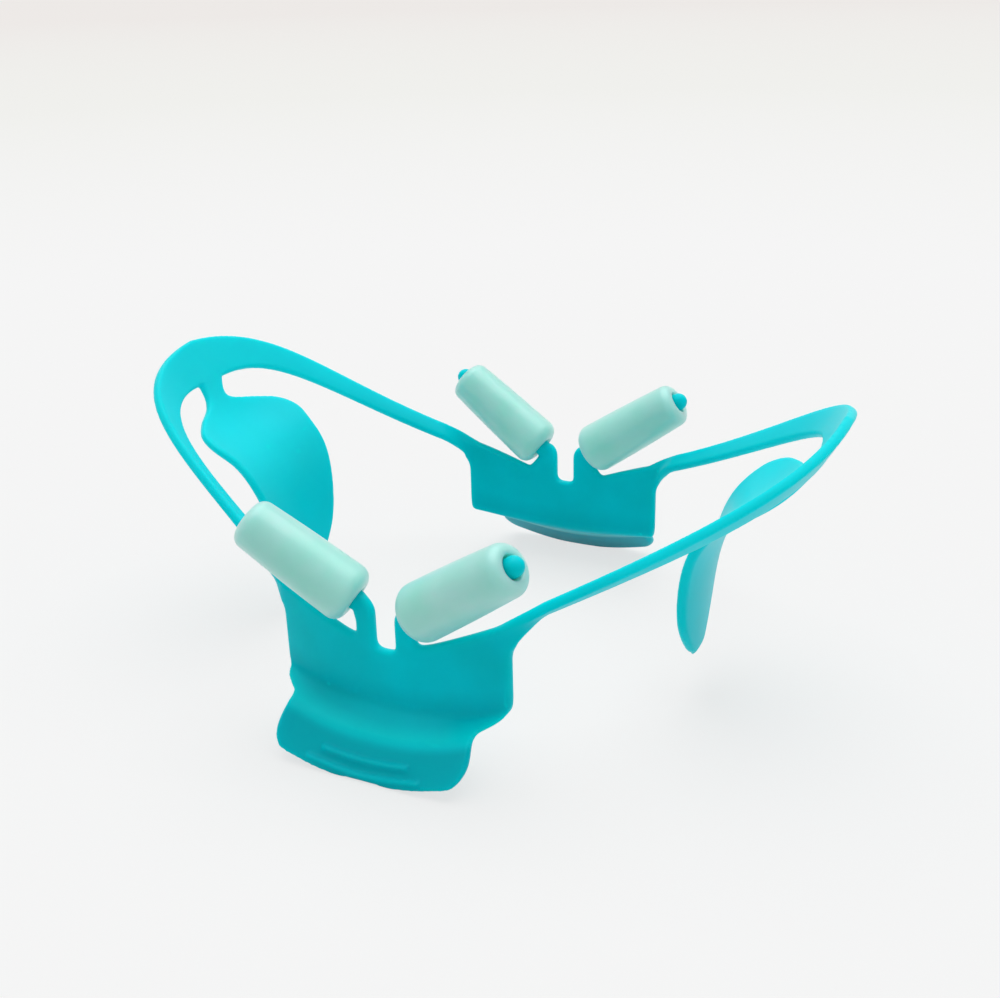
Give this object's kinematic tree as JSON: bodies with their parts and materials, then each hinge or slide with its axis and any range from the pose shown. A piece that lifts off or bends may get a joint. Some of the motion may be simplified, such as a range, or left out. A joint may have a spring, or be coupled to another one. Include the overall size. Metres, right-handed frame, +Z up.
{
  "type": "lip and cheek retractor",
  "caption": "Hands-free lip and cheek retractor: bowed lip shields joined by slim bands that sweep out into side bows with cheek blades, with soft bite sleeves on pegs.",
  "frame": {"origin": "midway between the two lip shields, on the surface that the retractor stands on", "axes": "+X from bow to bow, +Y from one lip shield to the other, +Z up from the lips to the bows"},
  "size_m": [0.1108, 0.0852, 0.0463],
  "materials": {
    "frame": "satin moulded turquoise, slightly translucent",
    "bumper": "soft matte pale mint"
  },
  "bodies": {
    "root": {"frame": "frame", "bumper_front_left": "bumper", "bumper_front_right": "bumper", "bumper_rear_left": "bumper", "bumper_rear_right": "bumper"}
  },
  "joints": []
}
